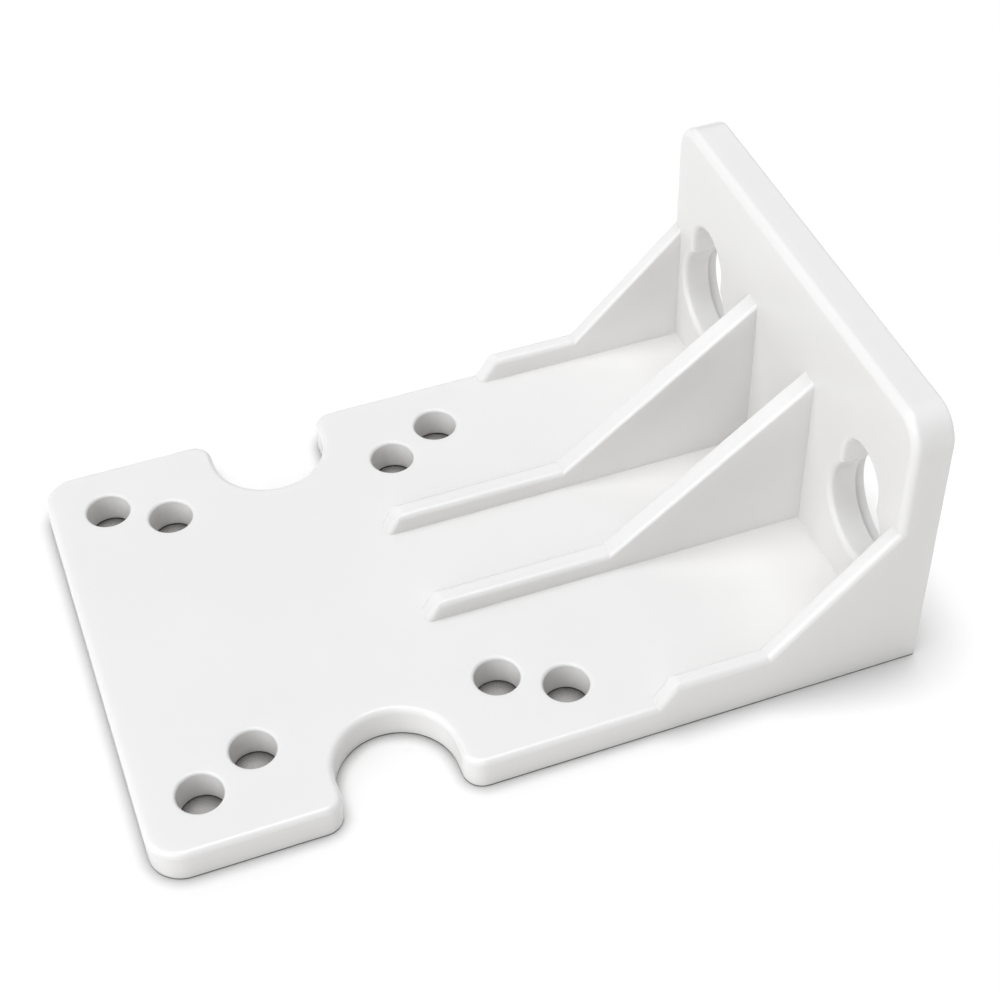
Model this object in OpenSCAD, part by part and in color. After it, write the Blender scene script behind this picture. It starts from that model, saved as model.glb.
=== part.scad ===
// Wall bracket that carries one water filter housing, moulded in one piece.
// X runs across, the wall plate is at +Y and +Z is up. The plate's underside is z = 0.
// Inside the modules y = 0 is the back face, and bracket() moves the whole to its own centre.

/* [Plate] */
// Width of the plate and of the wall plate
plate_w = 100; // [88:1:130]
// Thickness of the plate
plate_t = 7; // [5:0.5:10]
// Distance from the back face to the middle of the screw holes and notches
pattern_reach = 102.3; // [98:0.1:130]
// Distance from that middle to the plate's front edge
front_depth = 46.7; // [43:0.1:60]
// Radius of the two front corners
corner_r = 6.5; // [3:0.5:10]
// Rounding of the plate's upper edges
plate_edge_r = 1.2; // [0.4:0.1:2]
// Rounding of the plate's lower edges
under_edge_r = 0.5; // [0.2:0.1:1]

/* [Side notches] */
// Radius of a notch's round end
notch_r = 11.5; // [8:0.5:13]
// Distance from the plate's side in to the centre of that round end
notch_inset = 6.5; // [5:0.1:10]
// Radius of the rounded corners at a notch's mouth
notch_lip_r = 3.8; // [2:0.1:4]

/* [Screw holes] */
// Diameter of a screw hole
hole_d = 8.8; // [5:0.1:9.6]
// Rounding of a screw hole's edges
hole_edge_r = 0.6; // [0.2:0.1:1]
// Spacing of the outer four holes across the plate
outer_span_x = 75.6; // [72:0.1:78]
// Spacing of the outer four holes along the plate
outer_span_y = 70.2; // [66:0.1:74]
// Spacing of the inner four holes across the plate
inner_span_x = 63.2; // [56:0.1:66]
// Spacing of the inner four holes along the plate
inner_span_y = 47.2; // [46:0.1:50]

/* [Wall plate] */
// Height of the wall plate from the underside
wall_h = 61.5; // [54:0.5:90]
// Thickness of the wall plate
wall_t = 8; // [5:0.5:12]
// Radius of the wall plate's two upper corners
wall_corner_r = 6.5; // [4:0.5:10]
// Rounding of the wall plate's front edge
wall_edge_r = 1.6; // [0.6:0.1:2]
// Rounding of the wall plate's back edge
back_edge_r = 0.6; // [0.2:0.1:1]
// Rounding of the heel, where the back face meets the underside
heel_r = 1.3; // [0.5:0.1:2]
// Fillet between the plate and the wall plate
foot_r = 0.4; // [0.2:0.1:3]

/* [Keyholes] */
// Distance from the bracket's side in to a keyhole's middle
keyhole_inset = 16; // [15.5:0.1:19]
// Height of a keyhole's round head opening above the underside
keyhole_z = 26.3; // [25:0.1:30]
// Diameter of the head opening
head_d = 19.5; // [16:0.1:20]
// Width of the slot above the head opening
slot_w = 13.3; // [8:0.1:15]
// Rise from the head opening's centre to the centre of the slot's round end
slot_rise = 10.1; // [9:0.1:14]
// Rounding of a keyhole's front edge
keyhole_edge_r = 1; // [0.4:0.1:1.4]
// Depth of the shallow recess round a keyhole in the back face
recess_depth = 2.4; // [1:0.1:3]
// Width of that recess outside the keyhole
recess_margin = 1.1; // [0.4:0.1:1.2]

/* [Ribs] */
// Rounding of the ridges' upper edges
ridge_edge_r = 1.1; // [0.3:0.1:1.2]
// Rounding of the gussets' upper edges
gusset_edge_r = 0.7; // [0.3:0.1:1.2]
// Radius where a ridge's sloped nose runs into its top
nose_r = 3; // [0.5:0.1:3]
// Thickness of an inner rib
inner_rib_w = 4.3; // [3:0.1:6]
// Distance between the middles of the two inner ribs
inner_rib_span = 24.8; // [18:0.1:30]
// Height of an inner ridge above the plate
inner_ridge_h = 4.1; // [3:0.1:6]
// Length of the sloped nose at an inner ridge's front end
inner_nose_len = 2.3; // [1:0.1:4]
// Distance from the back face to the front end of an inner ridge
inner_ridge_reach = 86.7; // [68:0.1:92]
// Distance from the back face to the start of an inner gusset
inner_gusset_reach = 48.6; // [35:0.1:52]
// Height where an inner gusset meets the wall plate
inner_gusset_z = 42.7; // [30:0.1:46]
// Thickness of an outer rib
outer_rib_w = 3.6; // [3:0.1:4.6]
// Height of an outer ridge above the plate
outer_ridge_h = 4.8; // [3:0.1:6]
// Length of the sloped nose at an outer ridge's front end
outer_nose_len = 3.3; // [1:0.1:4]
// Distance from the back face to the front end of an outer ridge
outer_ridge_reach = 53.9; // [46:0.1:58]
// Distance from the back face to the start of an outer gusset
outer_gusset_reach = 31.8; // [26:0.1:38]
// Height where an outer gusset meets the wall plate
outer_gusset_z = 35.4; // [28:0.1:40]

/* [Hidden] */
over = 1;
half_w = plate_w / 2;
reach = pattern_reach + front_depth;
notch_x = half_w - notch_inset;
keyhole_x = half_w - keyhole_inset;
slot_top = keyhole_z + slot_rise;
// How far a rib's square ends lie behind an edge's rounding, in radii of it
end_cover = 1.25;
rib_base = plate_t - (1 + end_cover) * plate_edge_r;
rib_back = wall_edge_r + end_cover * plate_edge_r - wall_t;
$fn = 64;
edge_facets = 24;

// What a rounding of radius r takes off a square corner at the origin, with the solid at -x and -y
module corner_sliver(r) {
    difference() {
        translate([-r, -r]) square(r + over);
        translate([-r, -r]) circle(r, $fn = edge_facets);
    }
}

// Rounds the upper edge along the line from a to b, with the solid on its left
module straight_round(a, b, r) {
    run = b - a;
    translate([a.x, a.y, 0])
        rotate([90, 0, 90 + atan2(run.y, run.x)])
            linear_extrude(norm(run)) mirror([1, 0]) corner_sliver(r);
}

// Rounds the upper edge of an outside corner of radius big_r
module outside_round(centre, big_r, start, sweep, r) {
    translate([centre.x, centre.y, 0])
        rotate([0, 0, start])
            rotate_extrude(angle = sweep) translate([big_r, 0]) corner_sliver(r);
}

// Rounds the upper edge round a hollow of radius big_r
module inside_round(centre, big_r, start, sweep, r) {
    translate([centre.x, centre.y, 0])
        rotate([0, 0, start])
            rotate_extrude(angle = sweep) translate([big_r, 0]) mirror([1, 0]) corner_sliver(r);
}

// Puts its children on both sides of the middle plane
module both_sides() {
    children();
    mirror([1, 0, 0]) children();
}

// Turns what is drawn flat and upward to stand on the back face and point to the front
module upright() {
    rotate([90, 0, 0]) children();
}

// A notch's outline, a round-ended slot open at the side, with rounded corners at its mouth
module notch_outline() {
    mouth = notch_r + notch_lip_r;
    translate([notch_x, -pattern_reach]) {
        circle(notch_r);
        translate([0, -notch_r]) square([notch_inset + over, 2 * notch_r]);
    }
    difference() {
        translate([half_w - notch_lip_r, -pattern_reach - mouth]) square([notch_lip_r + over, 2 * mouth]);
        for (side = [-1, 1])
            translate([half_w - notch_lip_r, side * mouth - pattern_reach]) circle(notch_lip_r);
    }
}

// The plate's outline with its front corners and notches
module plate_outline() {
    difference() {
        union() {
            translate([-half_w, corner_r - reach]) square([plate_w, reach - corner_r]);
            translate([corner_r - half_w, -reach]) square([plate_w - 2 * corner_r, reach]);
            for (side = [-1, 1])
                translate([side * (half_w - corner_r), corner_r - reach]) circle(corner_r);
        }
        both_sides() notch_outline();
    }
}

// What rounds the plate's edge, from the middle of its front to the back face
module plate_edge(r) {
    corner = [half_w - corner_r, corner_r - reach];
    lip_x = half_w - notch_lip_r;
    mouth = notch_r + notch_lip_r;
    straight_round([0, -reach], [corner.x, -reach], r);
    outside_round(corner, corner_r, -90, 90, r);
    straight_round([half_w, corner.y], [half_w, -pattern_reach - mouth], r);
    outside_round([lip_x, -pattern_reach - mouth], notch_lip_r, 0, 90, r);
    straight_round([lip_x, -pattern_reach - notch_r], [notch_x, -pattern_reach - notch_r], r);
    inside_round([notch_x, -pattern_reach], notch_r, 90, 180, r);
    straight_round([notch_x, notch_r - pattern_reach], [lip_x, notch_r - pattern_reach], r);
    outside_round([lip_x, mouth - pattern_reach], notch_lip_r, -90, 90, r);
    straight_round([half_w, mouth - pattern_reach], [half_w, over], r);
}

// A screw hole through the plate with both edges rounded
module screw_hole() {
    rotate_extrude() {
        translate([0, -over]) square([hole_d / 2, plate_t + 2 * over]);
        translate([hole_d / 2, plate_t]) mirror([1, 0]) corner_sliver(hole_edge_r);
        translate([hole_d / 2, 0]) rotate(180) corner_sliver(hole_edge_r);
    }
}

// Four screw holes on a rectangle round the middle of the notches
module hole_pattern(span_x, span_y) {
    for (x = [-1, 1], y = [-1, 1])
        translate([x * span_x / 2, y * span_y / 2 - pattern_reach, 0]) screw_hole();
}

// The flat plate with its notches and screw holes
module plate() {
    difference() {
        linear_extrude(plate_t) plate_outline();
        both_sides() translate([0, 0, plate_t]) plate_edge(plate_edge_r);
        both_sides() mirror([0, 0, 1]) plate_edge(under_edge_r);
        hole_pattern(outer_span_x, outer_span_y);
        hole_pattern(inner_span_x, inner_span_y);
    }
}

// What rounds the wall plate's edge, from its lower end to the middle of its top
module wall_edge(r) {
    corner = [half_w - wall_corner_r, wall_h - wall_corner_r];
    straight_round([half_w, -over], [half_w, corner.y], r);
    outside_round(corner, wall_corner_r, 0, 90, r);
    straight_round([corner.x, wall_h], [0, wall_h], r);
}

// The wall plate, which stands on the plate's back end
module wall_plate() {
    low = plate_t / 2;
    upright() difference() {
        linear_extrude(wall_t) {
            translate([-half_w, low]) square([plate_w, wall_h - wall_corner_r - low]);
            translate([wall_corner_r - half_w, low]) square([plate_w - 2 * wall_corner_r, wall_h - low]);
            for (side = [-1, 1])
                translate([side * (half_w - wall_corner_r), wall_h - wall_corner_r]) circle(wall_corner_r);
        }
        both_sides() translate([0, 0, wall_t]) wall_edge(wall_edge_r);
    }
}

// The fillet between the plate and the wall plate, which ends inside the outer ribs
module foot_fillet() {
    length = plate_w - outer_rib_w;
    translate([-length / 2, -wall_t, plate_t])
        rotate([90, 0, 90])
            linear_extrude(length) difference() {
                translate([-foot_r, -over]) square(foot_r + over);
                translate([-foot_r, foot_r]) circle(foot_r);
            }
}

// A keyhole's outline, let out by a margin
module keyhole_outline(margin) {
    translate([keyhole_x, keyhole_z]) {
        circle(head_d / 2 + margin);
        translate([-slot_w / 2 - margin, 0]) square([slot_w + 2 * margin, slot_rise]);
        translate([0, slot_rise]) circle(slot_w / 2 + margin);
    }
}

// What rounds the front edge of a keyhole
module keyhole_edge(r) {
    left = keyhole_x - slot_w / 2;
    right = keyhole_x + slot_w / 2;
    inside_round([keyhole_x, keyhole_z], head_d / 2, 0, 360, r);
    straight_round([right, slot_top], [right, keyhole_z], r);
    inside_round([keyhole_x, slot_top], slot_w / 2, 0, 180, r);
    straight_round([left, keyhole_z], [left, slot_top], r);
}

// A keyhole through the wall plate, with the recess round it in the back face
module keyhole() {
    upright() {
        translate([0, 0, -over]) linear_extrude(wall_t + 2 * over) keyhole_outline(0);
        translate([0, 0, -over]) linear_extrude(recess_depth + over) keyhole_outline(recess_margin);
        translate([0, 0, wall_t]) keyhole_edge(keyhole_edge_r);
    }
}

// A rib's section from x = 0 to w, hanging down from y = 0, with its two upper corners rounded
module rib_section(w, depth, inner_r, outer_r) {
    difference() {
        translate([0, -depth]) square([w, depth]);
        translate([w, 0]) corner_sliver(outer_r);
        mirror([1, 0]) corner_sliver(inner_r);
    }
}

// A bar of that section that runs down to the front from the point [y, z], at a slope
module sloped_bar(w, start, slope, length, depth, inner_r, outer_r) {
    translate([0, start.x, start.y])
        rotate([90 + slope, 0, 0])
            linear_extrude(length) rib_section(w, depth, inner_r, outer_r);
}

// A ridge's side view in [y, z], with the nose rounded into the top
module ridge_profile(ridge_reach, top, nose_len, slope) {
    cut = nose_r * tan(slope / 2);
    nose_y = nose_len - ridge_reach;
    foot_y = -ridge_reach - (plate_t - rib_base) / tan(slope);
    polygon([
        [foot_y, rib_base],
        [nose_y - cut * cos(slope), top - cut * sin(slope)],
        [nose_y + cut, top],
        [rib_back, top],
        [rib_back, rib_base],
    ]);
    translate([nose_y + cut, top - nose_r]) circle(nose_r);
}

// A low ridge along the plate with a sloped nose at its front end
module ridge(w, h, nose_len, ridge_reach, outer_r) {
    slope = atan2(h, nose_len);
    top = plate_t + h;
    depth = top - rib_base;
    length = ridge_reach + rib_back + depth;
    above_nose = [nose_len - ridge_reach, top] + length * [cos(slope), sin(slope)];
    nose_drop = above_nose.y - rib_base - end_cover * outer_r * cos(slope);
    intersection() {
        rotate([90, 0, 90]) linear_extrude(w) ridge_profile(ridge_reach, top, nose_len, slope);
        sloped_bar(w, [rib_back, top], 0, length, depth, ridge_edge_r, outer_r);
        sloped_bar(w, above_nose, slope, nose_drop / sin(slope), length, ridge_edge_r, outer_r);
    }
}

// The triangular gusset that rises from a ridge to the wall plate
module gusset(w, top, gusset_reach, gusset_z, outer_r) {
    slope = atan2(gusset_z - top, gusset_reach - wall_t);
    start_y = rib_back - end_cover * outer_r * sin(slope);
    start_z = gusset_z + (start_y + wall_t) * tan(slope);
    drop = start_z - rib_base - end_cover * outer_r * cos(slope);
    height = start_z - rib_base + over;
    intersection() {
        sloped_bar(w, [start_y, start_z], slope, drop / sin(slope), height, gusset_edge_r, outer_r);
        translate([-over, -reach, rib_base]) cube([w + 2 * over, reach + rib_back, height]);
    }
}

// An inner rib, from x = 0 to its thickness
module inner_rib() {
    ridge(inner_rib_w, inner_ridge_h, inner_nose_len, inner_ridge_reach, ridge_edge_r);
    gusset(inner_rib_w, plate_t + inner_ridge_h, inner_gusset_reach, inner_gusset_z, gusset_edge_r);
}

// An outer rib, from x = 0 to its thickness, with its outer edge rounded as the plate's edge is
module outer_rib() {
    ridge(outer_rib_w, outer_ridge_h, outer_nose_len, outer_ridge_reach, plate_edge_r);
    gusset(outer_rib_w, plate_t + outer_ridge_h, outer_gusset_reach, outer_gusset_z, plate_edge_r);
}

// The inner and the outer rib of one side
module ribs() {
    translate([(inner_rib_span - inner_rib_w) / 2, 0, 0]) inner_rib();
    translate([half_w - outer_rib_w, 0, 0]) outer_rib();
}

module bracket() {
    color("white") translate([0, reach / 2, 0]) difference() {
        union() {
            plate();
            wall_plate();
            foot_fillet();
            both_sides() ribs();
        }
        both_sides() keyhole();
        both_sides() mirror([0, 1, 0]) upright() wall_edge(back_edge_r);
        mirror([0, 0, 1]) straight_round([half_w + over, 0], [-half_w - over, 0], heel_r);
    }
}

bracket();
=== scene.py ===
from math import cos, radians, sin

import bpy
from mathutils import Matrix, Vector

MM = 0.001

# The camera, fitted to the photo. Azimuth 0 is in front of the part and 90 is on its right.
CAMERA_TARGET = (-8.798 * MM, 11.368 * MM, 10 * MM)
CAMERA_DISTANCE = 400.405 * MM
CAMERA_AZIMUTH = 70.853
CAMERA_ELEVATION = 45.239
CAMERA_ROLL = -1.543
CAMERA_FOCAL_PIXELS = 1990.287
FRAME_PIXELS = 1000
SENSOR_WIDTH = 36

# The lights on the part: one above it and a ring of them round it, in watts by azimuth.
LIGHT_DISTANCE = 1.5
LIGHT_TINT = (0.965, 0.977, 1)
TOP_LIGHT_SIZE = 0.9
TOP_LIGHT_WATTS = 12.2
RING_LIGHT_SIZE = 1.3
RING_LIGHT_WATTS = {0: 10.4, 45: 11, 180: 5.3, 225: 1, 270: 3.8}
RING_ELEVATION = 35

# The plastic: the sizes of its patches, the heights of its bumps, and the light carried inside it.
DARKER_TINT = (0.784, 0.774, 0.758, 1)
LIGHTER_TINT = (0.796, 0.786, 0.772, 1)
TINT_PATCH = 30 * MM
LOWEST_ROUGHNESS = 0.21
HIGHEST_ROUGHNESS = 0.27
GLOSS_PATCH = 4 * MM
WAVE_SIZE = 12 * MM
WAVE_HEIGHT = 0.05 * MM
GRAIN_SIZE = 0.35 * MM
GRAIN_HEIGHT = 0.012 * MM
CARRIED_LIGHT = 0.4
CARRIED_LIGHT_REACH = 3 * MM

# The floor and its sun. The floor's colour holds painted shade: it goes by how much of what is above it is
# open, from 0 to 1, and darkens under and beside the part.
FLOOR_HALF_WIDTH = 10
FLOOR_SUN_STRENGTH = 4
FLOOR_SUN_ANGLE = 47
FLOOR_SHADE_REACH = 14 * MM
OPEN_FLOOR = (0.8, 0.8, 0.8, 1)
# Painted shade: the floor's colours where it is half open and where it is covered.
HALF_OPEN = 0.5
HALF_OPEN_FLOOR_PAINTED_SHADE = (0.57, 0.57, 0.57, 1)
COVERED = 0.15
COVERED_FLOOR_PAINTED_SHADE = (0.03, 0.025, 0.02, 1)


def connect(tree, node_type, **inputs):
    """Adds a node. An input's value is a number, a colour or another node's output socket."""
    node = tree.nodes.new(node_type)
    for key, value in inputs.items():
        socket = node.inputs[key.replace("_", " ")]
        if isinstance(value, bpy.types.NodeSocket):
            tree.links.new(value, socket)
        else:
            socket.default_value = value
    return node


def noise(tree, where, feature, detail=2):
    """Noise whose features are about as large as feature, in metres."""
    node = connect(tree, "ShaderNodeTexNoise", Vector=where, Scale=1 / feature, Detail=detail)
    return node.outputs["Fac"]


def spread(tree, value, low, high):
    """Maps noise, which mostly keeps between 0.3 and 0.7, to the range from low to high."""
    node = connect(tree, "ShaderNodeMapRange", Value=value, From_Min=0.3, From_Max=0.7,
                   To_Min=low, To_Max=high)
    return node.outputs["Result"]


def new_material(name):
    """A material with its node tree and its shader."""
    mat = bpy.data.materials.new(name)
    mat.use_nodes = True
    return mat, mat.node_tree, mat.node_tree.nodes["Principled BSDF"]


def plastic(name):
    """White injection-moulded plastic: a soft gloss, a fine spark-eroded grain and a slight waviness."""
    mat, tree, shader = new_material(name)
    where = tree.nodes.new("ShaderNodeTexCoord").outputs["Object"]

    tint = tree.nodes.new("ShaderNodeMix")
    tint.data_type = "RGBA"
    tree.links.new(spread(tree, noise(tree, where, TINT_PATCH), 0, 1), tint.inputs["Factor"])
    tint.inputs["A"].default_value = DARKER_TINT
    tint.inputs["B"].default_value = LIGHTER_TINT
    tree.links.new(tint.outputs["Result"], shader.inputs["Base Color"])

    uneven = noise(tree, where, GLOSS_PATCH, detail=4)
    tree.links.new(spread(tree, uneven, LOWEST_ROUGHNESS, HIGHEST_ROUGHNESS), shader.inputs["Roughness"])

    wave = connect(tree, "ShaderNodeBump", Height=noise(tree, where, WAVE_SIZE), Strength=0.25,
                   Distance=WAVE_HEIGHT)
    grain = connect(tree, "ShaderNodeBump", Height=noise(tree, where, GRAIN_SIZE), Strength=0.3,
                    Distance=GRAIN_HEIGHT, Normal=wave.outputs["Normal"])
    tree.links.new(grain.outputs["Normal"], shader.inputs["Normal"])

    shader.inputs["Subsurface Weight"].default_value = CARRIED_LIGHT
    shader.inputs["Subsurface Radius"].default_value = (1, 1, 1)
    shader.inputs["Subsurface Scale"].default_value = CARRIED_LIGHT_REACH
    return mat


def matt_floor_with_painted_shade(name):
    """A plain pale floor with painted shade: its colour darkens where the part stands over it or close
    beside it.
    """
    mat, tree, shader = new_material(name)
    # Painted shade: the less open the floor is above, the darker its colour, standing in for the part's
    # contact shadow.
    openness = connect(tree, "ShaderNodeAmbientOcclusion", Distance=FLOOR_SHADE_REACH)
    openness.samples = 8
    tint = connect(tree, "ShaderNodeValToRGB", Fac=openness.outputs["AO"])
    covered_stop, open_stop = tint.color_ramp.elements
    covered_stop.position = COVERED
    covered_stop.color = COVERED_FLOOR_PAINTED_SHADE
    open_stop.color = OPEN_FLOOR
    tint.color_ramp.elements.new(HALF_OPEN).color = HALF_OPEN_FLOOR_PAINTED_SHADE
    tree.links.new(tint.outputs["Color"], shader.inputs["Base Color"])
    shader.inputs["Roughness"].default_value = 1
    shader.inputs["Specular IOR Level"].default_value = 0
    return mat


def direction(azimuth, elevation):
    """The direction from the part towards a camera or light. Angles are in degrees."""
    level = cos(radians(elevation))
    return Vector((sin(radians(azimuth)) * level, -cos(radians(azimuth)) * level, sin(radians(elevation))))


def place(name, data):
    """An object of its own in the scene, made from data."""
    obj = bpy.data.objects.new(name, data)
    bpy.context.scene.collection.objects.link(obj)
    return obj


def collection_of(name, obj):
    """A collection with one object, for lights that shine on nothing else."""
    group = bpy.data.collections.new(name)
    group.objects.link(obj)
    return group


def photo_camera():
    """The camera that sees the part as the photo does."""
    back = direction(CAMERA_AZIMUTH, CAMERA_ELEVATION)
    level_right = Vector((cos(radians(CAMERA_AZIMUTH)), sin(radians(CAMERA_AZIMUTH)), 0))
    level_up = back.cross(level_right)
    roll = radians(CAMERA_ROLL)
    right = cos(roll) * level_right + sin(roll) * level_up
    up = cos(roll) * level_up - sin(roll) * level_right

    data = bpy.data.cameras.new("camera")
    data.sensor_width = SENSOR_WIDTH
    data.lens = CAMERA_FOCAL_PIXELS * SENSOR_WIDTH / FRAME_PIXELS
    data.clip_start = 0.01
    data.clip_end = 50
    obj = place("camera", data)
    turn = Matrix((right, up, back)).transposed().to_4x4()
    obj.matrix_world = Matrix.Translation(Vector(CAMERA_TARGET) + back * CAMERA_DISTANCE) @ turn
    return obj


def soft_light(name, azimuth, elevation, size, watts, lit):
    """A soft square light that shines only on the objects of the collection lit."""
    data = bpy.data.lights.new(name, "AREA")
    data.shape = "SQUARE"
    data.size = size
    data.energy = watts
    data.color = LIGHT_TINT
    obj = place(name, data)
    way = direction(azimuth, elevation)
    obj.location = way * LIGHT_DISTANCE
    obj.rotation_euler = way.to_track_quat("Z", "Y").to_euler()
    obj.light_linking.receiver_collection = lit


def floor_sun(lit):
    """A wide sun straight above, which keeps the floor evenly pale as far as any view reaches."""
    data = bpy.data.lights.new("floor_sun", "SUN")
    data.energy = FLOOR_SUN_STRENGTH
    data.angle = radians(FLOOR_SUN_ANGLE)
    place("floor_sun", data).light_linking.receiver_collection = lit


def flat_floor():
    """A square floor at height 0."""
    mesh = bpy.data.meshes.new("floor")
    far = FLOOR_HALF_WIDTH
    corners = [(-far, -far, 0), (far, -far, 0), (far, far, 0), (-far, far, 0)]
    mesh.from_pydata(corners, [], [(0, 1, 2, 3)])
    mesh.materials.append(matt_floor_with_painted_shade("floor"))
    return place("floor", mesh)


def dark_world():
    """A world that gives no light, so that all light comes from the lamps."""
    world = bpy.data.worlds.new("world")
    world.use_nodes = True
    world.node_tree.nodes["Background"].inputs["Strength"].default_value = 0
    return world


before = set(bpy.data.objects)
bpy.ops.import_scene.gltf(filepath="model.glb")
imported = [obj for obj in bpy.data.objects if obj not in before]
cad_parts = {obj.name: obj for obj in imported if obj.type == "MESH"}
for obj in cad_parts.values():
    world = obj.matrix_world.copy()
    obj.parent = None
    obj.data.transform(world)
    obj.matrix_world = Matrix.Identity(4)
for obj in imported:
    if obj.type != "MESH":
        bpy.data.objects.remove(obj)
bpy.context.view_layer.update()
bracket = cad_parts["bracket"]

bracket.data.materials.clear()
bracket.data.materials.append(plastic("white_plastic"))

bpy.context.scene.camera = photo_camera()
bpy.context.scene.world = dark_world()
bpy.context.scene.view_settings.view_transform = "Standard"

floor = flat_floor()

on_part = collection_of("lit_part", bracket)
soft_light("part_top", 0, 90, TOP_LIGHT_SIZE, TOP_LIGHT_WATTS, on_part)
for azimuth, watts in RING_LIGHT_WATTS.items():
    soft_light(f"part_{azimuth}", azimuth, RING_ELEVATION, RING_LIGHT_SIZE, watts, on_part)
floor_sun(collection_of("lit_floor", floor))
